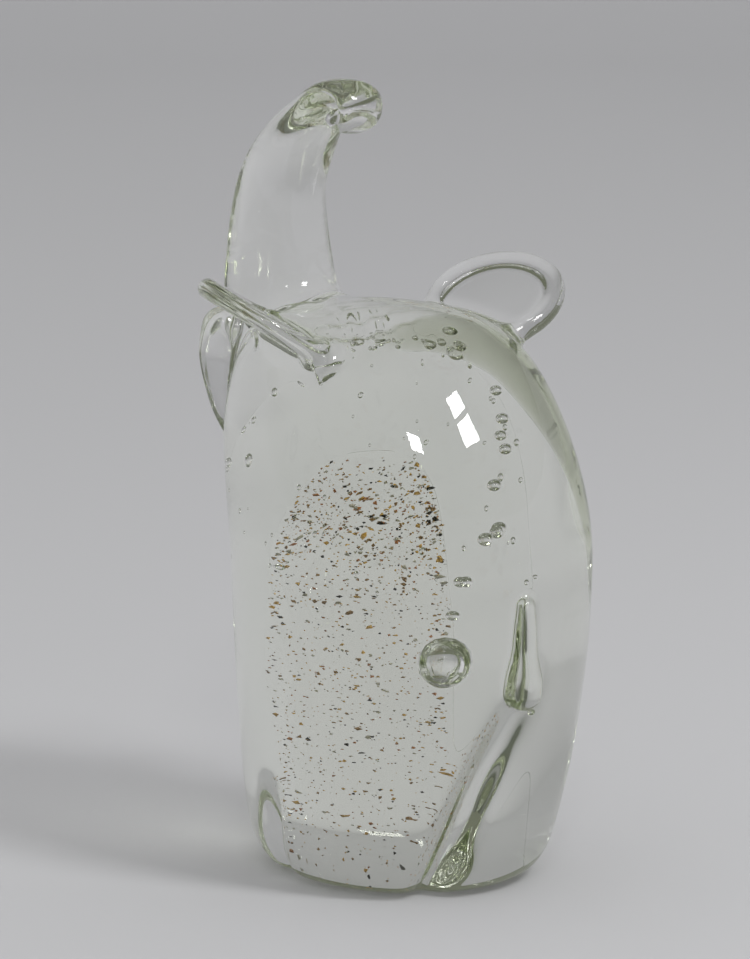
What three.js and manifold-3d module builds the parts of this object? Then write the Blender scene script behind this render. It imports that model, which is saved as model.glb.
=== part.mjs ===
// A solid hot-worked glass elephant with its trunk raised, in millimetres.
// It faces -Y, its left side is at +X, and the origin is the middle of its resting face.
// The body is three gathers of glass laid over each other. The trunk, tusks, ears and tail are bits
// of glass that sit on the last gather.
import * as THREE from "three";
import { mergeVertices } from "three/addons/utils/BufferGeometryUtils.js";
import Module from "manifold-3d";

const wasm = await Module();
wasm.setup();

// Driving dimensions of the body.
const bodyHeight = 108.5;
const bodyWidth = 65; // side to side
const bodyDepth = 73; // chest to rump
const rumpLean = 3; // how far the body's middle stands back of the resting face's, halfway up
const headLean = 6; // and how far forward of it the crown stands
const longCreaseHeight = 50; // the front and rear creases part the legs up to here
const sideCreaseHeight = 24; // the side creases, between the front and hind legs, are short
const creaseDepth = 4;
const creaseHalfWidth = 4;
const footTwist = 0.55; // radians that the rear crease winds round from its top to its foot

// Driving dimensions of the gathers inside it.
const outerWall = 14.5; // glass of the last gather, sideways
const outerCrown = 17; // and over the top
const innerWall = 9; // glass of the second gather, sideways
const innerCrown = 14; // and over the top
const coreForward = 4; // the two inner gathers' middle, forward of the resting face's

// Driving dimensions of the bits.
const trunkRadius = 11.4; // at its root
const trunkRise = 36; // the crown to the middle of the scroll that its tip is rolled into
const trunkOverhang = 3; // its middle line, beyond the chest
const scrollBack = 21.8; // the scroll's middle, back from the trunk's furthest forward
const scrollRadius = 2.8; // the scroll's middle line
const scrollHalfThickness = 2.5;
const scrollHalfWidth = 5.2;
const scrollTurn = 4.7; // radians that the scroll is rolled through
const tuskLength = 27;
const tuskRadius = 4.5;
const tuskSpread = 14; // the midplane to a tusk's middle line
const tuskBelowCrown = 16.8; // the crown to the middle of a tusk's length
const earRadius = 14;
const earRimRadius = 1.8;
const earHalfThickness = 1.1; // of the disc inside its rim
const earInset = 4.2; // the disc's middle, in from the body's widest side
const earForward = 5.9;
const earBelowCrown = 2.4;
const leftEarLift = 1.2; // the left ear sits this much higher than the right
const earRise = 0.51; // radians that the disc climbs outwards
const earTurn = 0.24; // radians that its face turns back
const tailLength = 21;
const tailKnobRadius = 3.3;
const tailHeight = 38; // the resting face to the knob's middle
const tailAside = 3.5; // to the left of the midplane

const seatGap = 0.3; // between pieces that touch

// Fineness of the facets.
const bodySides = 44;
const gatherSides = 24;
const bitSides = 16;
const outlineSteps = 22;

// Radius and height of a gather's outline, each as a share of its own, from the edge of the resting
// face up to the crown.
const outline = [
  [0.62, 0],
  [0.76, 0.022],
  [0.85, 0.075],
  [0.91, 0.18],
  [0.965, 0.35],
  [1, 0.53],
  [1, 0.66],
  [0.95, 0.79],
  [0.82, 0.9],
  [0.6, 0.965],
  [0.3, 0.995],
  [0, 1],
];

// The solid inside a closed geometry.
function solidOf(geometry) {
  const bare = geometry.clone();
  bare.deleteAttribute("normal");
  bare.deleteAttribute("uv");
  const merged = mergeVertices(bare, 1e-4);
  const mesh = new wasm.Mesh({
    numProp: 3,
    vertProperties: merged.attributes.position.array,
    triVerts: new Uint32Array(merged.index.array),
  });
  return new wasm.Manifold(mesh);
}

// The faceted geometry of a solid.
function geometryOf(solid) {
  const mesh = solid.getMesh();
  const geometry = new THREE.BufferGeometry();
  geometry.setAttribute("position", new THREE.BufferAttribute(mesh.vertProperties, 3));
  geometry.setIndex(new THREE.BufferAttribute(mesh.triVerts, 1));
  const faceted = geometry.toNonIndexed();
  faceted.computeVertexNormals();
  return faceted;
}

// Calls change(point) for each vertex of a geometry.
function reshape(geometry, change) {
  const places = geometry.attributes.position;
  const point = new THREE.Vector3();
  for (let i = 0; i < places.count; i += 1) {
    point.fromBufferAttribute(places, i);
    change(point);
    places.setXYZ(i, point.x, point.y, point.z);
  }
  return geometry;
}

const outlineCurve = new THREE.SplineCurve(outline.map(([r, h]) => new THREE.Vector2(r, h)));
const outlinePoints = [new THREE.Vector2(0, 0), ...outlineCurve.getPoints(outlineSteps)];
outlinePoints.at(-1).set(0, 1);

// A gather turned on its axis, 1 in radius and 1 high, standing on its resting face.
function turnedGather(sides) {
  return new THREE.LatheGeometry(outlinePoints, sides).rotateX(Math.PI / 2);
}

// How far the body's middle stands forward of the resting face's at a height.
function leanAt(height) {
  const back = THREE.MathUtils.smoothstep(height, 0, bodyHeight * 0.45);
  const forward = THREE.MathUtils.smoothstep(height, bodyHeight * 0.55, bodyHeight);
  return (rumpLean + headLean) * forward - rumpLean * back;
}

// The body's radius at a height, as a share of its widest.
function shareAt(height) {
  const level = height / bodyHeight;
  const above = outlinePoints.findIndex((p) => p.y > level);
  const [low, high] = [outlinePoints[above - 1], outlinePoints[above]];
  return THREE.MathUtils.mapLinear(level, low.y, high.y, low.x, high.x);
}

// How deep the leg creases are pressed in at a height and an angle round the body, 0 at +X.
function creaseAt(angle, height) {
  let depth = 0;
  for (let quarter = 0; quarter < 4; quarter += 1) {
    const top = quarter % 2 ? longCreaseHeight : sideCreaseHeight;
    const turn = angle - (quarter * Math.PI) / 2;
    const across = (Math.atan2(Math.sin(turn), Math.cos(turn)) * bodyWidth) / 2 / creaseHalfWidth;
    const fade = 1 - THREE.MathUtils.smoothstep(height, top * 0.4, top);
    depth += creaseDepth * fade * Math.exp(-across * across);
  }
  return depth;
}

// How far the rump side of the legs is wound round at a height and an angle.
function twistAt(angle, height) {
  const fall = Math.max(0, 1 - height / longCreaseHeight);
  return footTwist * fall * (0.5 + 0.5 * Math.sin(angle));
}

// The outer gather's whole form, grown outwards by a distance.
function bodyForm(grow) {
  return solidOf(
    reshape(turnedGather(bodySides), (p) => {
      const share = Math.hypot(p.x, p.y);
      const angle = Math.atan2(p.y, p.x);
      const height = p.z * (bodyHeight + grow);
      const pressed = creaseAt(angle, height) * THREE.MathUtils.smoothstep(share, 0.3, 0.75);
      const wound = angle - twistAt(angle, height);
      p.x = Math.cos(wound) * (share * (bodyWidth / 2 + grow) - pressed);
      p.y = Math.sin(wound) * (share * (bodyDepth / 2 + grow) - pressed) - leanAt(height);
      p.z = height;
    }),
  );
}

// A gather inside the body, with a wall of glass round it and a crown of glass over it. footDrop
// lowers its foot, for a form that cuts through the resting face.
function gatherForm(wall, crown, footDrop = 0) {
  return solidOf(
    reshape(turnedGather(gatherSides), (p) => {
      p.x *= bodyWidth / 2 - wall;
      p.y = p.y * (bodyDepth / 2 - wall) - coreForward;
      p.z = p.z > 0 ? p.z * (bodyHeight - crown) : -footDrop;
    }),
  );
}

// A round-ended bit of glass along a curve in the midplane. line is [y, z] points, and girth is the
// bit's [half-thickness in that plane, half-width across it] at even steps along the curve.
function bentBit(line, girth, steps, grow = 0) {
  const curve = new THREE.CatmullRomCurve3(line.map(([y, z]) => new THREE.Vector3(0, y, z)));
  const sizes = new THREE.SplineCurve(
    girth.map(([thick, wide]) => new THREE.Vector2(thick + grow, wide + grow)),
  );
  const roundShare = Math.min(girth.at(-1)[0] / curve.getLength(), 0.2);
  const end = [0, 0.3, 0.6, 0.8].map(
    (share) => new THREE.Vector2(Math.sqrt(1 - (1 - share) ** 2), share * roundShare),
  );
  const profile = [...end];
  for (let i = 0; i <= steps; i += 1) {
    profile.push(new THREE.Vector2(1, THREE.MathUtils.lerp(roundShare, 1 - roundShare, i / steps)));
  }
  profile.push(...end.reverse().map((p) => new THREE.Vector2(p.x, 1 - p.y)));
  const sideways = new THREE.Vector3(1, 0, 0);
  const middle = new THREE.Vector3();
  const outward = new THREE.Vector3();
  return solidOf(
    reshape(new THREE.LatheGeometry(profile, bitSides), (p) => {
      curve.getPointAt(p.y, middle);
      outward.crossVectors(sideways, curve.getTangentAt(p.y));
      const size = sizes.getPoint(p.y);
      middle.x += p.x * size.y;
      p.copy(middle.addScaledVector(outward, p.z * size.x));
    }),
  );
}

const trunkForward = bodyDepth / 2 - rumpLean + trunkOverhang;

// The trunk's middle line as [y, z]: out of the head, up and back, and round the scroll at its tip.
function trunkLine() {
  const line = [
    [17.5, -28],
    [7.5, -15],
    [1.5, -5],
    [0, trunkRise * 0.12],
    [0.1, trunkRise * 0.41],
    [1.8, trunkRise * 0.6],
    [6.4, trunkRise * 0.79],
    [11.9, trunkRise * 0.95],
    [16.7, trunkRise + scrollRadius * 0.8],
  ];
  const steps = 5;
  for (let i = 0; i <= steps; i += 1) {
    const turn = (i / steps) * scrollTurn;
    line.push([
      scrollBack + Math.sin(turn) * scrollRadius,
      trunkRise + Math.cos(turn) * scrollRadius,
    ]);
  }
  return line.map(([back, up]) => [back - trunkForward, bodyHeight + up]);
}

// The trunk, grown outwards by a distance: round where it stands up, and flattened towards its tip.
function trunkForm(grow) {
  const roundShares = [1.05, 1.1, 1.1, 1.04, 0.96, 0.88, 0.8, 0.72];
  const girth = roundShares.map((share) => [trunkRadius * share, trunkRadius * share]);
  girth.push([scrollHalfThickness * 2.5, scrollHalfWidth * 1.5]);
  girth.push([scrollHalfThickness * 1.6, scrollHalfWidth * 1.3]);
  girth.push([scrollHalfThickness, scrollHalfWidth * 1.1]);
  girth.push([scrollHalfThickness, scrollHalfWidth]);
  girth.push([scrollHalfThickness * 0.9, scrollHalfWidth * 0.9]);
  return bentBit(trunkLine(), girth, 34, grow);
}

// One tusk, a bit laid down the chest beside the trunk and drawn to a point. side is 1 on the left
// and -1 on the right.
function tuskForm(side) {
  const middle = bodyHeight - tuskBelowCrown;
  const line = [
    [-trunkForward + 0.8, middle + tuskLength / 2],
    [-trunkForward - 0.2, middle + tuskLength / 5],
    [-trunkForward + 1.7, middle - tuskLength / 6],
    [-trunkForward + 6, middle - tuskLength / 2],
  ];
  const girth = [0.85, 1, 0.8, 0.35].map((share) => [tuskRadius * share, tuskRadius * share]);
  return bentBit(line, girth, 10).translate(side * tuskSpread, 0, 0);
}

// One ear, a thin disc in a thick round rim. side is 1 on the left and -1 on the right.
function earForm(side) {
  const rimMiddle = earRadius - earRimRadius;
  const profile = [new THREE.Vector2(0, -earHalfThickness)];
  for (let angle = -0.75; angle <= 0.76; angle += 0.25) {
    const turn = angle * Math.PI;
    profile.push(
      new THREE.Vector2(rimMiddle + Math.cos(turn) * earRimRadius, Math.sin(turn) * earRimRadius),
    );
  }
  profile.push(new THREE.Vector2(0, earHalfThickness));
  const disc = new THREE.LatheGeometry(profile, 32);
  const holder = new THREE.Object3D();
  holder.position.set(
    side * (bodyWidth / 2 - earInset),
    -earForward,
    bodyHeight - earBelowCrown + (side > 0 ? leftEarLift : 0),
  );
  const face = new THREE.Vector3(-side * Math.sin(earRise), Math.sin(earTurn), Math.cos(earRise));
  holder.quaternion.setFromUnitVectors(new THREE.Vector3(0, 1, 0), face.normalize());
  holder.updateMatrix();
  return solidOf(disc.applyMatrix4(holder.matrix));
}

// The tail, a drop let down on the rump that ends in a knob.
function tailForm() {
  const line = [];
  for (const share of [0, 0.35, 0.7, 1]) {
    const height = tailHeight + tailLength * (1 - share);
    const rump = shareAt(height) * (bodyDepth / 2) - leanAt(height);
    line.push([rump + 0.2 * tailKnobRadius * share, height]);
  }
  const girth = [0.45, 0.6, 0.7, 1.05, 1].map((share) => [
    tailKnobRadius * share,
    tailKnobRadius * share,
  ]);
  return bentBit(line, girth, 10).translate(tailAside, 0, 0);
}

const glass = { roughness: 0.05, metalness: 0 };
const clearGlass = () => new THREE.MeshStandardMaterial({ color: 0xdfe6dc, ...glass });
const speckledGlass = () => new THREE.MeshStandardMaterial({ color: 0x9a8b6c, ...glass });

const elephant = new THREE.Group();

function addPiece(name, solid, material) {
  const mesh = new THREE.Mesh(geometryOf(solid), material);
  mesh.name = name;
  elephant.add(mesh);
}

// Each gather is hollowed for the one that it was laid over.
const innerFoot = 1;
const coreWall = outerWall + innerWall;
const coreCrown = outerCrown + innerCrown;
const innerPocket = gatherForm(outerWall - seatGap, outerCrown - seatGap, innerFoot);
const corePocket = gatherForm(coreWall - seatGap, coreCrown - seatGap, innerFoot);
addPiece("outer_gather", bodyForm(0).subtract(innerPocket), clearGlass());
addPiece("inner_gather", gatherForm(outerWall, outerCrown).subtract(corePocket), clearGlass());
addPiece("core_gather", gatherForm(coreWall, coreCrown), speckledGlass());

// Each bit is cut to the surface that it sits on.
const seat = bodyForm(seatGap);
addPiece("trunk", trunkForm(0).subtract(seat), clearGlass());
const trunkSeat = trunkForm(seatGap);
addPiece("left_tusk", tuskForm(1).subtract(seat).subtract(trunkSeat), clearGlass());
addPiece("right_tusk", tuskForm(-1).subtract(seat).subtract(trunkSeat), clearGlass());
addPiece("left_ear", earForm(1).subtract(seat), clearGlass());
addPiece("right_ear", earForm(-1).subtract(seat), clearGlass());
addPiece("tail", tailForm().subtract(seat), clearGlass());

export default elephant;
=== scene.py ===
"""The looks of a solid hot-worked glass elephant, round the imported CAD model.

Its outside is one smooth skin of fused glass, made from a distance field, and cut into the pieces that
it was made from. Inside it are the gather boundaries, a streak of greener glass, air bubbles and chips
of coloured glass.
Lengths are millimetres until a mesh is made. The elephant faces -Y and its left side is at +X.
"""

import math
from collections import Counter

import bpy
import numpy as np
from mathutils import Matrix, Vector


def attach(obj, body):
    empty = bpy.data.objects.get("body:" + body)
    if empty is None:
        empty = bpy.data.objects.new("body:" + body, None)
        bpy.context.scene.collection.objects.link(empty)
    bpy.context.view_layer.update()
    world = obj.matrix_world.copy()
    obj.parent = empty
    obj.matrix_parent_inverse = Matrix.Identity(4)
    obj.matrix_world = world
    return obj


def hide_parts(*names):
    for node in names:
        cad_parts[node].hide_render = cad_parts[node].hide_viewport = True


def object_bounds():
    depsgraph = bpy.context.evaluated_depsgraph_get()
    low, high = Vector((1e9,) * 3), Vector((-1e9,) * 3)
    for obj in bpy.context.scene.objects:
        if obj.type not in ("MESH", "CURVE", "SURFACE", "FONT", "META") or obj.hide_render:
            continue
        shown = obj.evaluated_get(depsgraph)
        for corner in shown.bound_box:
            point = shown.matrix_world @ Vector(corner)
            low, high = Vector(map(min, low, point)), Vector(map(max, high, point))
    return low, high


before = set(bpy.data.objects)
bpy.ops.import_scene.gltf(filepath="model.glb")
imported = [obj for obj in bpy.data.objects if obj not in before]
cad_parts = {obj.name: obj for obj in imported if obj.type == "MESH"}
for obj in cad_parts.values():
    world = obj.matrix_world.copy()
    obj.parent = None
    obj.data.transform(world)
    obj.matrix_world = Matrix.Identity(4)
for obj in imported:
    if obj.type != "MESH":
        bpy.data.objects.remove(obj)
cad_box = [list(corner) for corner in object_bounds()]

METRE = 0.001  # one millimetre
seeded = np.random.default_rng(11)

# Driving dimensions of the body, as in the CAD.
body_height = 108.5
body_width = 65
body_depth = 73
rump_lean = 3
head_lean = 6
long_crease_height = 50
side_crease_height = 24
crease_depth = 4
crease_half_width = 4
foot_twist = 0.55
outer_wall, outer_crown = 14.5, 17
inner_wall, inner_crown = 9, 14
core_forward = 4

# Driving dimensions of the bits, as in the CAD.
trunk_radius = 11.4
trunk_rise = 36
trunk_overhang = 3
scroll_back = 21.8
scroll_radius = 2.8
scroll_half_thickness = 2.5
scroll_half_width = 5.2
scroll_turn = 4.7
tusk_length = 27
tusk_radius = 4.5
tusk_spread = 14
tusk_below_crown = 16.8
ear_radius = 14
ear_rim_radius = 1.8
ear_half_thickness = 1.1
ear_inset = 4.2
ear_forward = 5.9
ear_below_crown = 2.4
left_ear_lift = 1.2
ear_rise = 0.51
ear_turn = 0.24
tail_length = 21
tail_knob_radius = 3.3
tail_height = 38
tail_aside = 3.5

# How wide the fused fillet is where each bit meets the glass under it.
trunk_fillet = 9
left_ear_fillet = 10
right_ear_fillet = 6
tusk_fillet = 3
tail_fillet = 2

skin_step = 0.7  # size of the skin's faces
box_margin = 3

# Radius and height of a gather's outline, each as a share of its own.
outline = [
    (0.62, 0),
    (0.76, 0.022),
    (0.85, 0.075),
    (0.91, 0.18),
    (0.965, 0.35),
    (1, 0.53),
    (1, 0.66),
    (0.95, 0.79),
    (0.82, 0.9),
    (0.6, 0.965),
    (0.3, 0.995),
    (0, 1),
]


def smoothstep(value, low, high):
    share = np.clip((value - low) / (high - low), 0, 1)
    return share * share * (3 - 2 * share)


def smooth_curve(points, steps):
    """A centripetal Catmull-Rom curve through points, with steps to each stretch."""
    points = np.asarray(points, float)
    ends = [2 * points[0] - points[1], 2 * points[-1] - points[-2]]
    points = np.vstack([ends[0], points, ends[1]])
    spans = np.sqrt(np.linalg.norm(np.diff(points, axis=0), axis=1))
    made = []
    share = (np.arange(steps) / steps)[:, None]
    for i in range(1, len(points) - 2):
        before, here, there, after = points[i - 1 : i + 3]
        d0, d1, d2 = spans[i - 1 : i + 2]
        leave = d1 * ((here - before) / d0 - (there - before) / (d0 + d1)) + there - here
        arrive = d1 * ((after - there) / d2 - (after - here) / (d1 + d2)) + there - here
        made.append(
            here
            + leave * share
            + (3 * (there - here) - 2 * leave - arrive) * share**2
            + (2 * (here - there) + leave + arrive) * share**3
        )
    return np.vstack([*made, points[-2]])


def even_steps(points, count):
    """count points at even distances along a line of points."""
    along = np.concatenate([[0], np.cumsum(np.linalg.norm(np.diff(points, axis=0), axis=1))])
    at = np.linspace(0, along[-1], count)
    return np.column_stack([np.interp(at, along, points[:, i]) for i in range(points.shape[1])])


def softened(points, rounds):
    """A line of points with its small kinks smoothed away and its ends kept."""
    points = points.copy()
    for _ in range(rounds):
        points[1:-1] += (points[:-2] + points[2:] - 2 * points[1:-1]) / 4
    return points


class Table:
    """Values kept over a rectangle of a plane, and read back between their places."""

    def __init__(self, low, high, spacing, values_at):
        self.low, self.spacing = np.asarray(low, float), spacing
        counts = np.ceil((np.asarray(high) - self.low) / spacing).astype(int) + 1
        first = self.low[0] + np.arange(counts[0]) * spacing
        second = self.low[1] + np.arange(counts[1]) * spacing
        rows = [values_at(np.column_stack([np.full(counts[1], a), second])) for a in first]
        self.values = np.array(rows)

    def at(self, first, second):
        a = np.clip((first - self.low[0]) / self.spacing, 0, self.values.shape[0] - 1.001)
        b = np.clip((second - self.low[1]) / self.spacing, 0, self.values.shape[1] - 1.001)
        i, j = a.astype(np.int32), b.astype(np.int32)
        a, b = a - i, b - j
        if self.values.ndim == 3:
            a, b = a[..., None], b[..., None]
        low = self.values[i, j] * (1 - a) + self.values[i + 1, j] * a
        high = self.values[i, j + 1] * (1 - a) + self.values[i + 1, j + 1] * a
        return low * (1 - b) + high * b


table_spacing = 0.25
mean_radius = (body_width + body_depth) / 4


def outline_table():
    """Signed distance to the body's outline over radius and height, negative inside."""
    wall = softened(even_steps(smooth_curve(outline, 12), 200), 6)
    wall = np.vstack([[0, 0], wall]) * [mean_radius, body_height]
    start, step = wall[:-1], np.diff(wall, axis=0)
    rise = np.where(step[:, 1] == 0, 1, step[:, 1])

    def distance(spots):
        offset = spots[:, None] - start
        share = np.clip((offset * step).sum(-1) / (step**2).sum(-1), 0, 1)
        gap = np.linalg.norm(offset - share[..., None] * step, axis=-1).min(1)
        height = spots[:, None, 1]
        crossed = (start[:, 1] <= height) != (wall[1:, 1] <= height)
        reach = start[:, 0] + offset[..., 1] / rise * step[:, 0]
        inside = (crossed & (reach > spots[:, None, 0])).sum(1) % 2 == 1
        return np.where(inside, -gap, gap)

    return Table((0, -6), (48, body_height + 10), table_spacing, distance)


body_outline = outline_table()


def lean_at(height):
    back = smoothstep(height, 0, body_height * 0.45)
    forward = smoothstep(height, body_height * 0.55, body_height)
    return (rump_lean + head_lean) * forward - rump_lean * back


def twist_at(angle, height):
    fall = np.clip(1 - height / long_crease_height, 0, 1)
    return foot_twist * fall * (0.5 + 0.5 * np.sin(angle))


def crease_at(angle, height):
    """How deep the four leg creases are pressed in."""
    depth = 0
    for quarter in range(4):
        top = long_crease_height if quarter % 2 else side_crease_height
        turn = angle - quarter * math.pi / 2
        across = np.arctan2(np.sin(turn), np.cos(turn)) * body_width / 2 / crease_half_width
        depth = depth + (1 - smoothstep(height, top * 0.4, top)) * np.exp(-across * across)
    return crease_depth * depth


def body_field(x, y, z):
    across = x / (body_width / 2)
    along = (y + lean_at(z)) / (body_depth / 2)
    share = np.hypot(across, along)
    wound = np.arctan2(along, across)
    angle = wound + twist_at(wound, z)
    angle = wound + twist_at(angle, z)
    pressed = crease_at(angle, z) * smoothstep(share, 0.3, 0.75)
    return body_outline.at(share * mean_radius + pressed, z)


class Bit:
    """A bit of glass drawn along a curve in an upright plane. line is (y, z) points, and girth is its
    (half-thickness in that plane, half-width across it) at even steps along the curve."""

    def __init__(self, aside, line, girth, count=160):
        self.aside = aside
        self.line = softened(even_steps(smooth_curve(line, 24), count), 4)
        marks = np.linspace(0, 1, len(girth))
        girth = np.asarray(girth, float)
        share = np.linspace(0, 1, count)
        sizes = np.column_stack([np.interp(share, marks, girth[:, i]) for i in range(2)])
        self.sizes = softened(sizes, 60)
        length = np.linalg.norm(np.diff(self.line, axis=0), axis=1).sum()
        first, last = self.sizes[0, 0] / length, self.sizes[-1, 0] / length
        kept = (share >= first) & (share <= 1 - last)
        self.line, self.sizes = self.line[kept], self.sizes[kept]

        reach = self.sizes[:, 0].max() + 12
        low, high = self.line.min(0) - reach, self.line.max(0) + reach
        self.table = Table(low, high, table_spacing, self.nearest)

    def nearest(self, places):
        """The gap from each place to the curve, and the bit's two sizes there."""
        step = np.diff(self.line, axis=0)
        offset = places[:, None] - self.line[:-1]
        share = np.clip((offset * step).sum(-1) / (step**2).sum(-1), 0, 1)
        gap = np.linalg.norm(offset - share[..., None] * step, axis=-1)
        best = (gap - self.sizes[:-1, 0]).argmin(1)
        rows = np.arange(len(best))
        blend = share[rows, best][:, None]
        sizes = self.sizes[best] * (1 - blend) + self.sizes[best + 1] * blend
        return np.column_stack([gap[rows, best], sizes])

    def field(self, x, y, z):
        gap, thick, wide = np.moveaxis(self.table.at(y, z), -1, 0)
        out = x - self.aside
        level = np.hypot(gap / thick, out / wide)
        steep = np.hypot(gap / thick**2, out / wide**2)
        return level * (level - 1) / np.maximum(steep, 1e-6)


trunk_forward = body_depth / 2 - rump_lean + trunk_overhang


def trunk_bit():
    line = [
        (17.5, -28),
        (7.5, -15),
        (1.5, -5),
        (0, trunk_rise * 0.12),
        (0.1, trunk_rise * 0.41),
        (1.8, trunk_rise * 0.6),
        (6.4, trunk_rise * 0.79),
        (11.9, trunk_rise * 0.95),
        (16.7, trunk_rise + scroll_radius * 0.8),
    ]
    for turn in np.linspace(0, scroll_turn, 6):
        line.append(
            (
                scroll_back + math.sin(turn) * scroll_radius,
                trunk_rise + math.cos(turn) * scroll_radius,
            )
        )
    line = [(back - trunk_forward, body_height + up) for back, up in line]
    girth = [(trunk_radius * s, trunk_radius * s) for s in (1.05, 1.1, 1.1, 1.04, 0.96, 0.88, 0.8, 0.72)]
    for thick, wide in ((2.5, 1.5), (1.6, 1.3), (1, 1.1), (1, 1), (0.9, 0.9)):
        girth.append((scroll_half_thickness * thick, scroll_half_width * wide))
    return Bit(0, line, girth, count=320)


def tusk_bit(side):
    middle = body_height - tusk_below_crown
    line = [
        (-trunk_forward + 0.8, middle + tusk_length / 2),
        (-trunk_forward - 0.2, middle + tusk_length / 5),
        (-trunk_forward + 1.7, middle - tusk_length / 6),
        (-trunk_forward + 6, middle - tusk_length / 2),
    ]
    girth = [(tusk_radius * s, tusk_radius * s) for s in (0.85, 1, 0.8, 0.35)]
    return Bit(side * tusk_spread, line, girth)


def tail_bit():
    wall = even_steps(smooth_curve(outline, 12), 200)
    line = []
    for share in (0, 0.35, 0.7, 1):
        height = tail_height + tail_length * (1 - share)
        rump = np.interp(height / body_height, wall[:, 1], wall[:, 0]) * body_depth / 2
        line.append((float(rump - lean_at(height)) + 0.2 * tail_knob_radius * share, height))
    girth = [(tail_knob_radius * s, tail_knob_radius * s) for s in (0.45, 0.6, 0.7, 1.05, 1)]
    return Bit(tail_aside, line, girth)


class Ear:
    """A thin disc in a thick round rim. side is 1 on the left and -1 on the right."""

    def __init__(self, side):
        lift = left_ear_lift if side > 0 else 0
        self.middle = np.array(
            [side * (body_width / 2 - ear_inset), -ear_forward, body_height - ear_below_crown + lift]
        )
        face = np.array([-side * math.sin(ear_rise), math.sin(ear_turn), math.cos(ear_rise)])
        self.face = face / np.linalg.norm(face)

    def field(self, x, y, z):
        dx, dy, dz = x - self.middle[0], y - self.middle[1], z - self.middle[2]
        above = dx * self.face[0] + dy * self.face[1] + dz * self.face[2]
        out = np.sqrt(np.maximum(dx * dx + dy * dy + dz * dz - above**2, 1e-9))
        rim_middle = ear_radius - ear_rim_radius
        disc = np.maximum(np.abs(above) - ear_half_thickness, out - rim_middle)
        rim = np.hypot(out - rim_middle, above) - ear_rim_radius
        return melted(disc, rim, 2)


def melted(a, b, width):
    """Two fields joined with a smooth fillet about as wide as width."""
    near = np.maximum(width - np.abs(a - b), 0) / width
    return np.minimum(a, b) - near**3 * width / 6


trunk, left_tusk, right_tusk = trunk_bit(), tusk_bit(1), tusk_bit(-1)
left_ear, right_ear, tail = Ear(1), Ear(-1), tail_bit()

# Each bit's field, and the width of its fillet.
bits = {
    "trunk": (trunk.field, trunk_fillet),
    "left_ear": (left_ear.field, left_ear_fillet),
    "right_ear": (right_ear.field, right_ear_fillet),
    "left_tusk": (left_tusk.field, tusk_fillet),
    "right_tusk": (right_tusk.field, tusk_fillet),
    "tail": (tail.field, tail_fillet),
}

# The slow swell of hand-worked glass: a few long waves in odd directions.
wave_count = 7
wave_height = 0.05
wave_numbers = seeded.normal(size=(wave_count, 3)) * 0.16
wave_starts = seeded.uniform(0, 2 * math.pi, wave_count)


def swell(x, y, z):
    total = 0
    for (kx, ky, kz), start in zip(wave_numbers, wave_starts):
        total = total + np.sin(kx * x + ky * y + kz * z + start)
    return wave_height * total * smoothstep(z, 2, 12)


# A rippled dent in the crown, behind the left ear.
dent_middle = (11, 4, 104)
dent_radius = 11
dent_depth = 2
dent_ripple = 0.5
dent_ripple_length = 6.5


def dent(x, y, z):
    """How far the surface is pressed in by the dent and its ripples."""
    dx, dy, dz = x - dent_middle[0], y - dent_middle[1], z - dent_middle[2]
    fade = np.exp(-(dx * dx + dy * dy + dz * dz) / (dent_radius * dent_radius / 2))
    turn = 2 * math.pi / dent_ripple_length
    waves = np.sin((dx * 0.3 + dy + 0.2 * dz) * turn) + 0.7 * np.sin((dx * 0.9 - dy * 0.5) * turn * 1.4)
    return fade * (dent_depth + dent_ripple * waves)


def skin_field(x, y, z):
    """Distance to the skin of all the fused glass."""
    total = body_field(x, y, z) + dent(x, y, z)
    for field, fillet in bits.values():
        total = melted(total, field(x, y, z), fillet)
    return total + swell(x, y, z)


def gradient(field, points, reach=0.3):
    """A field's slope at each point, by four evenly spread samples."""
    slope = np.zeros_like(points)
    for way in ((1, -1, -1), (-1, -1, 1), (-1, 1, -1), (1, 1, 1)):
        near = points + np.array(way) * reach
        slope += np.array(way) * field(*near.T)[:, None]
    return slope / (4 * reach)


def onto_surface(field, points, rounds):
    """Points moved along the field's slope onto its zero surface."""
    for _ in range(rounds):
        slope = gradient(field, points)
        steep = np.maximum((slope**2).sum(1), 1e-3)
        points = points - slope * (field(*points.T) / steep)[:, None]
    return points


def surface_net(field, low, high, step):
    """Vertices and quads over a field's zero surface: one vertex in each cell that it crosses."""
    counts = np.ceil((high - low) / step).astype(int) + 1
    x = (low[0] + np.arange(counts[0]) * step)[:, None, None]
    y = (low[1] + np.arange(counts[1]) * step)[None, :, None]
    z = (low[2] + np.arange(counts[2]) * step)[None, None, :]
    inside = field(x, y, z) < 0
    corners = sum(
        inside[i : counts[0] - 1 + i, j : counts[1] - 1 + j, k : counts[2] - 1 + k].astype(np.int8)
        for i in (0, 1)
        for j in (0, 1)
        for k in (0, 1)
    )
    crossed = (corners > 0) & (corners < 8)
    number = np.full(crossed.shape, -1)
    number[crossed] = np.arange(crossed.sum())
    points = low + (np.argwhere(crossed) + 0.5) * step
    quads = []
    for axis in range(3):
        turned = np.moveaxis(inside, axis, 0)
        cells = np.moveaxis(number, axis, 0)
        change = turned[:-1, 1:-1, 1:-1] != turned[1:, 1:-1, 1:-1]
        i, j, k = np.nonzero(change)
        quad = np.stack(
            [cells[i, j, k], cells[i, j + 1, k], cells[i, j + 1, k + 1], cells[i, j, k + 1]], 1
        )
        leaves = turned[:-1, 1:-1, 1:-1][i, j, k]
        outward = leaves if axis != 1 else ~leaves
        quads.append(np.where(outward[:, None], quad, quad[:, ::-1]))
    return points, np.vstack(quads)


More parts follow.
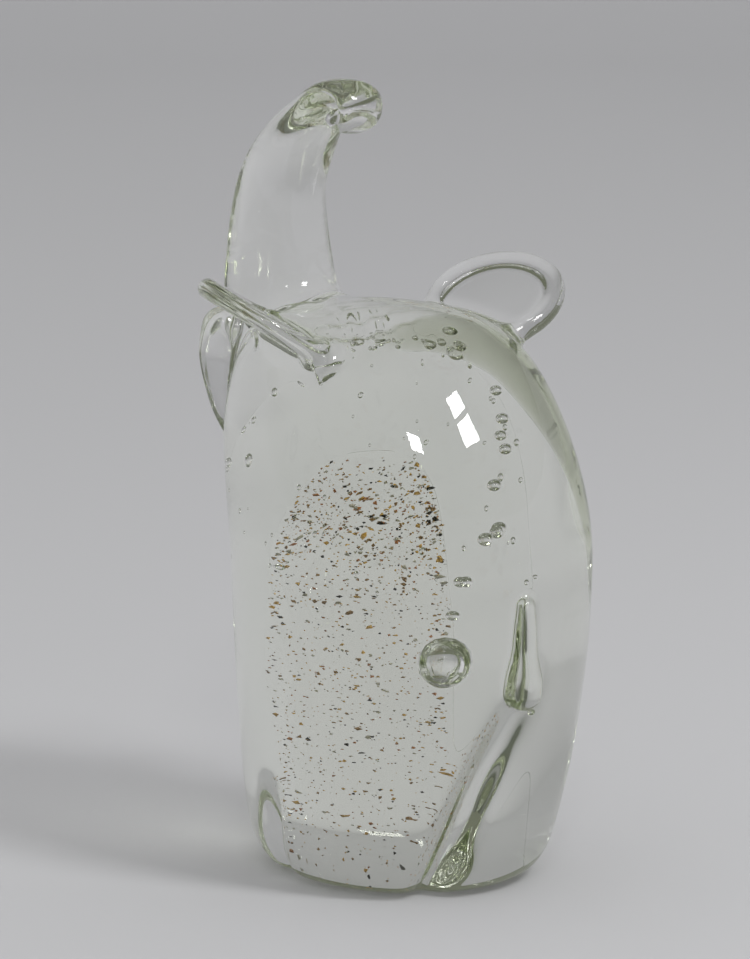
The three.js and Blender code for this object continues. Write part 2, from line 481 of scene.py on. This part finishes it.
def evened(field, points, quads, rounds):
    """The same mesh with its vertices spread evenly over the surface."""
    for _ in range(rounds):
        middles = points[quads].mean(1)
        total, count = np.zeros_like(points), np.zeros(len(points))
        for corner in range(4):
            np.add.at(total, quads[:, corner], middles)
            np.add.at(count, quads[:, corner], 1)
        points = onto_surface(field, total / count[:, None], 1)
    return points


def add_mesh(name, points, faces, material):
    """An object from points in millimetres."""
    mesh = bpy.data.meshes.new(name)
    mesh.from_pydata((np.asarray(points) * METRE).tolist(), [], [list(map(int, f)) for f in faces])
    mesh.polygons.foreach_set("use_smooth", [True] * len(mesh.polygons))
    mesh.materials.append(material)
    made = bpy.data.objects.new(name, mesh)
    bpy.context.scene.collection.objects.link(made)
    return made


def add_piece(name, points, faces, material, replaces=()):
    """A mesh that is part of the elephant."""
    made = add_mesh(name, points, faces, material)
    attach(made, "root")
    if replaces:
        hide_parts(*replaces)
    return made


def new_material(name):
    material = bpy.data.materials.new(name)
    material.use_nodes = True
    return material, material.node_tree, material.node_tree.nodes["Principled BSDF"]


def add_node(tree, kind, **settings):
    """A shader node with its inputs or properties set by name."""
    node = tree.nodes.new(kind)
    for name, value in settings.items():
        socket = name.replace("_", " ")
        if socket in node.inputs:
            node.inputs[socket].default_value = value
        else:
            setattr(node, name, value)
    return node


SEAM = "seam"  # the face attribute that is 1 on the faces that close a piece inside the fused glass
seam_dish = 0.3
glass_index = 1.5
glass_taken = (0.4, 0.2, 0.9)  # the share of red, green and blue that the glass takes
glass_density = 1.1  # per metre


def clear_glass(name, index, taken=(0, 0, 0), density=0):
    """Glass of one refractive index, with a fine ripple, that takes a share of each colour."""
    material, tree, glass = new_material(name)
    glass.inputs["Base Color"].default_value = (1, 1, 1, 1)
    glass.inputs["Transmission Weight"].default_value = 1
    glass.inputs["Roughness"].default_value = 0
    glass.inputs["IOR"].default_value = index
    place = add_node(tree, "ShaderNodeTexCoord")
    noise = add_node(tree, "ShaderNodeTexNoise", Scale=70, Detail=1)
    bump = add_node(tree, "ShaderNodeBump", Strength=0.03, Distance=METRE)
    tree.links.new(place.outputs["Object"], noise.inputs["Vector"])
    tree.links.new(noise.outputs["Fac"], bump.inputs["Height"])
    tree.links.new(bump.outputs["Normal"], glass.inputs["Normal"])
    if density:
        colour = (*[1 - share for share in taken], 1)
        absorption = add_node(tree, "ShaderNodeVolumeAbsorption", Color=colour, Density=density)
        tree.links.new(absorption.outputs["Volume"], tree.nodes["Material Output"].inputs["Volume"])
    return material


def fused_glass():
    """The glass of the skin. Where two pieces are fused, light goes on unbent from one to the other."""
    material = clear_glass("clear_glass", glass_index, glass_taken, glass_density)
    tree = material.node_tree
    seam = add_node(tree, "ShaderNodeAttribute", attribute_name=SEAM)
    index = add_node(tree, "ShaderNodeMapRange", To_Min=glass_index, To_Max=1)
    tree.links.new(seam.outputs["Fac"], index.inputs["Value"])
    tree.links.new(index.outputs["Result"], tree.nodes["Principled BSDF"].inputs["IOR"])
    return material


def owners_of(points):
    """The number of the piece that each point of the skin belongs to: 0 is the outer gather."""
    fields = [body_field(*points.T)] + [field(*points.T) for field, _ in bits.values()]
    return np.argmin(fields, axis=0)


def onto_seams(points, quads, owner):
    """The vertices between two pieces, moved to where the pieces' own fields are equal."""
    fields = [body_field] + [field for field, _ in bits.values()]
    touched = np.zeros((len(points), len(fields)), bool)
    for corner in range(4):
        touched[quads[:, corner], owner] = True
    for first in range(len(fields)):
        for second in range(first + 1, len(fields)):
            shared = touched[:, first] & touched[:, second] & (touched.sum(1) == 2)
            if not shared.any():
                continue

            def between(x, y, z, first=first, second=second):
                return fields[first](x, y, z) - fields[second](x, y, z)

            moved = points[shared]
            for _ in range(3):
                slope, across = gradient(skin_field, moved), gradient(between, moved)
                slope /= np.linalg.norm(slope, axis=1)[:, None]
                across -= slope * (slope * across).sum(1)[:, None]
                steep = np.maximum((across**2).sum(1), 0.05)
                change = across * (between(*moved.T) / steep)[:, None]
                far = np.maximum(np.linalg.norm(change, axis=1) / (skin_step / 2), 1)
                moved = onto_surface(skin_field, moved - change / far[:, None], 1)
            points[shared] = moved
    return points


def open_loops(faces):
    """The closed runs of edges that have a face on one side only, each as a list of vertices."""
    edges = np.vstack([np.column_stack([faces[:, i], faces[:, (i + 1) % 4]]) for i in range(4)])
    used = Counter(map(tuple, edges.tolist()))
    after = {}
    for (a, b), times in used.items():
        for _ in range(times - used.get((b, a), 0)):
            after.setdefault(a, []).append(b)
    loops = []
    while after:
        start = next(iter(after))
        loop, here = [], start
        while True:
            loop.append(here)
            there = after[here].pop()
            if not after[here]:
                del after[here]
            here = there
            if here == start:
                break
        loops.append(loop)
    return loops


def dished_middle(loop):
    """The middle of a loop, drawn into the piece that it closes, so that the two pieces that share the
    loop don't lie face to face."""
    middle = loop.mean(0)
    across = np.cross(loop - middle, np.roll(loop, -1, axis=0) - middle).sum(0)
    return middle + seam_dish * across / np.linalg.norm(across)


def outward(points):
    """The unit way out of the skin's field at each point."""
    slope = gradient(skin_field, points)
    return slope / np.linalg.norm(slope, axis=1)[:, None]


def make_skin():
    """The fused skin, as one closed piece for the outer gather and for each bit."""
    low = np.array(cad_box[0]) / METRE - box_margin
    high = np.array(cad_box[1]) / METRE + box_margin
    points, quads = surface_net(skin_field, low, high, skin_step)
    points = onto_surface(skin_field, points, 4)
    points = evened(skin_field, points, quads, 3)
    owner = owners_of(points[quads].mean(1))
    points = onto_seams(points, quads, owner)
    normals = outward(points)
    glass = fused_glass()
    for number, name in enumerate(["outer_gather", *bits]):
        kept, own = np.unique(quads[owner == number], return_inverse=True)
        own = own.reshape(-1, 4)
        spots = points[kept]
        caps = []
        for loop in open_loops(own):
            middle = len(spots)
            spots = np.vstack([spots, dished_middle(spots[loop])])
            caps += [[b, a, middle] for a, b in zip(loop, loop[1:] + loop[:1])]
        faces = own.tolist() + caps
        piece = add_piece(name + "_glass", spots, faces, glass, [name])
        on_seam = np.repeat([0.0, 1.0], [len(own), len(caps)])
        mark = piece.data.attributes.new(SEAM, "FLOAT", "FACE")
        mark.data.foreach_set("value", on_seam)
        piece.data.polygons.foreach_set("use_smooth", on_seam == 0)
        flat = np.zeros((3 * len(caps), 3))  # a zero normal leaves the face's own
        ways = np.vstack([normals[kept][own].reshape(-1, 3), flat])
        piece.data.normals_split_custom_set(ways.tolist())


def ring_faces(rings, sides):
    """The faces of a closed form whose points are an end, then rings, then the other end. They look
    out when the rings go up, and in when they go down."""
    faces = []
    last, foot = 1 + rings * sides, (rings - 1) * sides
    for side in range(sides):
        a, b = 1 + side, 1 + (side + 1) % sides
        faces.append((0, b, a))
        faces.append((last, foot + a, foot + b))
        for ring in range(rings - 1):
            low = ring * sides
            faces.append((low + a, low + b, low + b + sides, low + a + sides))
    return faces


def gather_places(wall, crown, angle, out, level):
    """Places on a gather's boundary, at angles from +X and at the outline's radius and height shares."""
    return np.column_stack(
        [
            np.cos(angle) * out * (body_width / 2 - wall),
            np.sin(angle) * out * (body_depth / 2 - wall) - core_forward,
            np.broadcast_to(level * (body_height - crown), np.shape(angle)),
        ]
    )


def gather_point(wall, crown, angle, level):
    """One place on a gather's boundary, at an angle from +X and a share of its height."""
    rim = even_steps(smooth_curve(outline, 12), 200)
    out = np.interp(level, rim[:, 1], rim[:, 0])
    return gather_places(wall, crown, np.array([angle]), out, level)[0]


gather_rows = 70
gather_sides = 72
gather_waver = 0.012  # how far a gather's boundary strays, as a share of its radius


def add_gather(name, wall, crown, foot, material):
    """The boundary of a gather inside the fused glass, with its foot kept just off the resting face."""
    rim = even_steps(smooth_curve(outline, 12), gather_rows)
    angle = np.arange(gather_sides) * 2 * math.pi / gather_sides
    points = [[0, -core_forward, foot]]
    for out, level in rim[:-1]:
        ring = gather_places(wall, crown, angle, out, level)
        ring[:, :2] *= 1 + gather_waver * np.sin(3 * angle + 5 * level)[:, None]
        ring[:, 2] = np.maximum(ring[:, 2], foot)
        points += ring.tolist()
    points.append([0, -core_forward, body_height - crown])
    faces = ring_faces(gather_rows - 1, gather_sides)
    add_piece(name + "_glass", points, faces, material, replaces=[name])


# A streak of greener glass that the last gather carried over the crown and down the right of the rump.
streak_spine = [
    (10, 4, 102),
    (2, 10, 104),
    (-8, 15, 100),
    (-15, 20, 91),
    (-19, 22, 78),
    (-20, 23, 64),
    (-19, 23, 52),
]
streak_depth = 4.6  # from the skin to the streak's middle
streak_cover = 1.2  # the least glass left between the streak and the skin
streak_half_thickness = 3
streak_half_width = 9
streak_sides = 20


def add_streak(material):
    spine = smooth_curve(streak_spine, 10)
    for _ in range(4):
        out = outward(spine)
        spine = spine - out * (skin_field(*spine.T) + streak_depth)[:, None]
    across = np.cross(out, np.gradient(spine, axis=0))
    across /= np.linalg.norm(across, axis=1)[:, None]
    last = len(spine) - 1
    points = [spine[0]]
    for row in range(1, last):
        fullness = math.sqrt(1 - (2 * row / last - 1) ** 2)
        for side in range(streak_sides):
            angle = 2 * math.pi * side / streak_sides
            wide = math.cos(angle) * streak_half_width * across[row]
            thick = math.sin(angle) * streak_half_thickness * out[row]
            points.append(spine[row] + (wide + thick) * fullness)
    points = np.array([*points, spine[-1]])
    for _ in range(3):
        out = outward(points)
        points -= out * np.maximum(skin_field(*points.T) + streak_cover, 0)[:, None]
    add_piece("green_streak", points, ring_faces(last - 1, streak_sides), material)


def chip(middle, size):
    """A splinter of crushed glass: six jittered corners and eight faces."""
    corners = np.vstack([np.eye(3), -np.eye(3)]) * size + seeded.normal(size=(6, 3)) * size * 0.25
    turn, _ = np.linalg.qr(seeded.normal(size=(3, 3)))
    faces = []
    for x in (0, 3):
        for y in (1, 4):
            for z in (2, 5):
                odd = ((x > 0) + (y > 1) + (z > 2)) % 2
                faces.append((x, z, y) if odd else (x, y, z))
    if np.linalg.det(turn) < 0:
        turn = -turn
    return corners @ (turn * [1, 1, 0.8]) + middle, faces


def joined(parts):
    """One list of points and one of faces from several (points, faces) pairs."""
    points, faces, count = [], [], 0
    for some, theirs in parts:
        points.append(some)
        faces += [[count + i for i in face] for face in theirs]
        count += len(some)
    return np.vstack(points), faces


# The crushed glass rolled into the core: name, how many chips, two colours, roughness.
chip_kinds = [
    ("brown", 700, (0.20, 0.11, 0.04), (0.42, 0.26, 0.10), 0.35),
    ("black", 330, (0.01, 0.01, 0.01), (0.05, 0.04, 0.03), 0.25),
    ("amber", 640, (0.50, 0.27, 0.05), (0.72, 0.47, 0.14), 0.2),
    ("copper", 300, (0.32, 0.11, 0.03), (0.56, 0.26, 0.10), 0.3),
    ("sand", 550, (0.36, 0.34, 0.25), (0.56, 0.53, 0.43), 0.4),
]
chip_radius = 0.14
chip_spread = 0.5  # how widely the radii vary, as a logarithm
chip_most = 0.5
chip_lowest = 1.8
near_inset = 0.02, 0.12  # how far in from the core's surface most chips lie, as a share of its radius
deep_inset = 0.1, 0.9  # and the others
near_share = 0.7
band_every = 5  # one chip in this many is in the thicker band under the crown
band_level = 0.84
band_spread = 0.05
top_level = 0.985


def chip_material(kind, dark, light, roughness):
    material, tree, paint = new_material("chips_" + kind)
    paint.inputs["Roughness"].default_value = roughness
    paint.inputs["IOR"].default_value = 1.52
    place = add_node(tree, "ShaderNodeTexCoord")
    noise = add_node(tree, "ShaderNodeTexNoise", Scale=900, Detail=2)
    shade = add_node(tree, "ShaderNodeMix", data_type="RGBA")
    shade.inputs["A"].default_value = (*dark, 1)
    shade.inputs["B"].default_value = (*light, 1)
    tree.links.new(place.outputs["Object"], noise.inputs["Vector"])
    tree.links.new(noise.outputs["Fac"], shade.inputs["Factor"])
    tree.links.new(shade.outputs["Result"], paint.inputs["Base Color"])
    return material


def add_chips():
    """Chips on and in the core gather: most lie on its surface, and they thin out near the crown."""
    core_wall, core_crown = outer_wall + inner_wall, outer_crown + inner_crown
    for kind, count, dark, light, roughness in chip_kinds:
        chips = []
        for number in range(count):
            level = seeded.uniform(0.02, 0.97) ** 0.8
            if number % band_every == 0:
                level = band_level + band_spread * seeded.normal()
            level = min(level, top_level)
            angle = seeded.uniform(0, 2 * math.pi)
            middle = gather_point(core_wall, core_crown, angle, level)
            near = seeded.uniform() < near_share
            inward = seeded.uniform(*near_inset) if near else seeded.uniform(*deep_inset)
            middle[0] *= 1 - inward
            middle[1] = (middle[1] + core_forward) * (1 - inward) - core_forward
            middle[2] = max(middle[2], chip_lowest)
            size = min(chip_radius * math.exp(seeded.normal(0, chip_spread)), chip_most)
            tall = 0.8 + 0.7 * level
            chips.append(chip(middle, size * np.array([1, 1, tall])))
        points, faces = joined(chips)
        material = chip_material(kind, dark, light, roughness)
        made = add_piece("chips_" + kind, points, faces, material)
        made.data.polygons.foreach_set("use_smooth", [False] * len(faces))


bubble_cover = 0.6  # the least glass left between an air pocket and the skin
bubble_rings = 7
bubble_sides = 14

# Small bubbles all over the second gather, and a column of larger ones up its rump.
seed_count = 60
seed_radius = 0.28
column_count = 14
column_angle, column_turn = 62, 5.5  # degrees from +X, and from one bubble to the next
column_level, column_rise = 0.5, 0.035  # as shares of the gather's height

# A row of bubbles across the crown, and a patch of small ones beside it.
row_count = 9
row_start = (8, 1, 98)
row_step = (-1.7, 0.9, -0.25)
patch_count = 26
patch_middle = (9, 3, 100.5)
patch_spread = (6, 5, 1.2)
patch_radius = 0.45

# A string of bubbles beside the tail and one large pocket, both placed from the tail's foot.
string_count = 6
string_aside, string_back, string_drop, string_step = -5.5, -3.2, 1.5, 1.9
string_radii = (0.75, 0.75, 0.6)
pocket_place = (10, -11, 9)
pocket_radii = (5.2, 4, 4.8)


def bubble(middle, radii):
    """A pocket of air, with its faces turned in, since the glass is round it."""
    points = [middle + [0, 0, radii[2]]]
    for ring in range(1, bubble_rings + 1):
        turn = math.pi * ring / (bubble_rings + 1)
        for side in range(bubble_sides):
            angle = 2 * math.pi * side / bubble_sides
            way = (math.sin(turn) * math.cos(angle), math.sin(turn) * math.sin(angle), math.cos(turn))
            points.append(middle + np.array(way) * radii)
    points.append(middle - [0, 0, radii[2]])
    return np.array(points), ring_faces(bubble_rings, bubble_sides)


def bubble_places():
    """The middle and the three radii of every air pocket."""
    for _ in range(seed_count):
        level = seeded.uniform(0.35, 1) ** 0.5
        spot = gather_point(outer_wall, outer_crown, seeded.uniform(0, 2 * math.pi), level)
        size = seed_radius * math.exp(seeded.normal(0, 0.35))
        yield spot, size * np.array([1, 1, 1.5])
    for step in range(column_count):
        angle = math.radians(column_angle + column_turn * step + seeded.normal() * 5)
        level = column_level + column_rise * step + seeded.normal() * 0.02
        spot = gather_point(outer_wall - 1.5, outer_crown - 3, angle, level)
        yield spot, (1.0 + 0.3 * seeded.uniform()) * np.array([1, 1, 0.85])
    for step in range(row_count):
        spot = np.array(row_start) + np.array(row_step) * step + seeded.normal(size=3) * 0.5
        yield spot, np.array([0.9, 0.9, 0.75]) * seeded.uniform(0.8, 1.2)
    for _ in range(patch_count):
        spot = patch_middle + seeded.normal(size=3) * patch_spread
        size = patch_radius * math.exp(seeded.normal(0, 0.4))
        yield spot, size * np.array([1.2, 1, 0.9])
    tail_foot = np.array([tail_aside, float(body_depth / 2 - lean_at(tail_height)), tail_height])
    for step in range(string_count):
        aside = string_aside + seeded.normal() * 0.6
        place = [aside, string_back, -string_drop - string_step * step]
        yield tail_foot + place, np.array(string_radii)
    yield tail_foot + pocket_place, np.array(pocket_radii)


def add_bubbles(material):
    """Air caught where the last gather was laid over the second, and a few pockets near the tail."""
    inside = []
    for spot, radii in bubble_places():
        if skin_field(*spot) < -max(radii) - bubble_cover:
            inside.append(bubble(spot, radii))
    points, faces = joined(inside)
    add_piece("air_bubbles", points, faces, material)


make_skin()
add_streak(clear_glass("green_glass", index=1.004, taken=(0.72, 0.66, 0.94), density=75))
add_gather(
    "inner_gather",
    wall=outer_wall,
    crown=outer_crown,
    foot=0.4,
    material=clear_glass("inner_glass", index=1.004, taken=(0.5, 0.35, 0.7), density=1.5),
)
add_gather(
    "core_gather",
    wall=outer_wall + inner_wall,
    crown=outer_crown + inner_crown,
    foot=0.8,
    material=clear_glass("core_glass", index=1.008, taken=(0.4, 0.5, 0.8), density=2),
)
add_chips()
add_bubbles(clear_glass("bubble_wall", glass_index))

# --- The studio ---

camera_azimuth = math.radians(140)
camera_elevation = math.radians(10.5)
camera_distance = 0.9
camera_sensor = 24
view_middle = Vector((0.00376, -0.00316, 0.0751))
view_height = 0.1815  # what the frame takes in at the view's middle

# The paper sweep, in metres.
sweep_reach, sweep_corner, sweep_top = 2.4, 0.8, 0.9
sweep_sides = 96
sweep_drop = 0.00005  # from the resting face down to the paper
paper_colour = (0.59, 0.59, 0.605, 1)

# The room round the sweep, and painted shade on the paper: far away on one side the paper's colour fades
# to the same dim olive.
room_colour = (0.13, 0.14, 0.10, 1)
shaded_paper_colour = (0.13, 0.145, 0.10, 1)
shaded_side = math.radians(95)
shade_start, shade_end = 1.1, 1.6

# The lights: azimuth and elevation in degrees, sizes and distances in metres, power in watts.
tent_strength = 0.67
window_azimuth, window_elevation, window_distance = 194, 47, 1.25
pane_apart = 4  # degrees from the window's middle to a pane's
pane_side, pane_power = 0.14, 1.4
lamp_azimuth, lamp_elevation, lamp_distance = 142, 40, 1.3
lamp_side, lamp_power = 0.12, 1

light_bounces = 72  # enough for light that is caught between the faces of the glass to get out


def way_to(azimuth, elevation):
    """The unit way to an azimuth, 0 at -Y and turning towards +X, and an elevation."""
    flat = math.cos(elevation)
    return Vector((math.sin(azimuth) * flat, -math.cos(azimuth) * flat, math.sin(elevation)))


def aimed(name, data, way, distance):
    """An object at a distance from the view's middle, looking at it."""
    holder = bpy.data.objects.new(name, data)
    holder.location = view_middle + way * distance
    holder.rotation_euler = (view_middle - holder.location).to_track_quat("-Z", "Y").to_euler()
    bpy.context.scene.collection.objects.link(holder)
    return holder


def add_camera():
    camera = bpy.data.cameras.new("camera")
    camera.sensor_fit = "VERTICAL"
    camera.sensor_height = camera_sensor
    camera.lens = camera_sensor * camera_distance / view_height
    camera.clip_start = 0.05
    way = way_to(camera_azimuth, camera_elevation)
    bpy.context.scene.camera = aimed("camera", camera, way, camera_distance)


def add_light(name, azimuth, elevation, distance, side, power):
    light = bpy.data.lights.new(name, "AREA")
    light.shape = "SQUARE"
    light.size = side
    light.energy = power
    aimed(name, light, way_to(math.radians(azimuth), math.radians(elevation)), distance)


def add_lights():
    """A window of four panes, and a small lamp near the camera."""
    for column in (-1, 1):
        for row in (-1, 1):
            azimuth = window_azimuth + pane_apart * column
            elevation = window_elevation + pane_apart * row
            add_light("window_pane", azimuth, elevation, window_distance, pane_side, pane_power)
    add_light("lamp", lamp_azimuth, lamp_elevation, lamp_distance, lamp_side, lamp_power)


def paper_material():
    """Plain pale paper with painted shade: far away on one side, well away from the figurine, its colour
    fades to the dim olive of the room.
    """
    material, tree, paper = new_material("sweep_paper")
    paper.inputs["Roughness"].default_value = 0.9
    place = add_node(tree, "ShaderNodeTexCoord")
    away = add_node(tree, "ShaderNodeVectorMath", operation="DOT_PRODUCT")
    away.inputs[1].default_value = way_to(shaded_side, 0)
    edge = add_node(tree, "ShaderNodeMapRange", interpolation_type="SMOOTHSTEP")
    edge.inputs["From Min"].default_value = shade_start
    edge.inputs["From Max"].default_value = shade_end
    shade = add_node(tree, "ShaderNodeMix", data_type="RGBA")
    shade.inputs["A"].default_value = paper_colour
    # painted shade: the dim olive that the paper turns to far away on one side
    shade.inputs["B"].default_value = shaded_paper_colour
    tree.links.new(place.outputs["Object"], away.inputs[0])
    tree.links.new(away.outputs["Value"], edge.inputs["Value"])
    tree.links.new(edge.outputs["Result"], shade.inputs["Factor"])
    tree.links.new(shade.outputs["Result"], paper.inputs["Base Color"])
    return material


def add_sweep():
    """A pale floor that curves up into a wall all round."""
    profile = [(0.12, 0), (0.5, 0), (sweep_reach - sweep_corner, 0)]
    for turn in np.linspace(0, math.pi / 2, 12)[1:]:
        out = sweep_reach - sweep_corner + math.sin(turn) * sweep_corner
        profile.append((out, sweep_corner - math.cos(turn) * sweep_corner))
    profile.append((sweep_reach, sweep_top))
    points = [(0, 0, -sweep_drop)]
    for radius, height in profile:
        for side in range(sweep_sides):
            angle = 2 * math.pi * side / sweep_sides
            points.append((math.sin(angle) * radius, -math.cos(angle) * radius, height - sweep_drop))
    faces = []
    for side in range(sweep_sides):
        a, b = 1 + side, 1 + (side + 1) % sweep_sides
        faces.append((0, a, b))
        for ring in range(len(profile) - 1):
            low = ring * sweep_sides
            faces.append((low + a, low + a + sweep_sides, low + b + sweep_sides, low + b))
    add_mesh("sweep", np.array(points) / METRE, faces, paper_material())


def add_world():
    """An even pale light on the paper, and a dim olive room for the glass to show at its edges."""
    world = bpy.data.worlds.new("room")
    world.use_nodes = True
    tree = world.node_tree
    room = tree.nodes["Background"]
    room.inputs["Color"].default_value = room_colour
    tent = add_node(tree, "ShaderNodeBackground", Color=(1, 1, 1, 1), Strength=tent_strength)
    path = add_node(tree, "ShaderNodeLightPath")
    both = add_node(tree, "ShaderNodeMixShader")
    tree.links.new(path.outputs["Diffuse Depth"], both.inputs["Fac"])
    tree.links.new(room.outputs["Background"], both.inputs[1])
    tree.links.new(tent.outputs["Background"], both.inputs[2])
    tree.links.new(both.outputs["Shader"], tree.nodes["World Output"].inputs["Surface"])
    bpy.context.scene.world = world


add_camera()
add_sweep()
add_world()
add_lights()

scene = bpy.context.scene
scene.view_settings.view_transform = "Standard"
scene.cycles.max_bounces = light_bounces
scene.cycles.transmission_bounces = light_bounces
scene.cycles.glossy_bounces = light_bounces
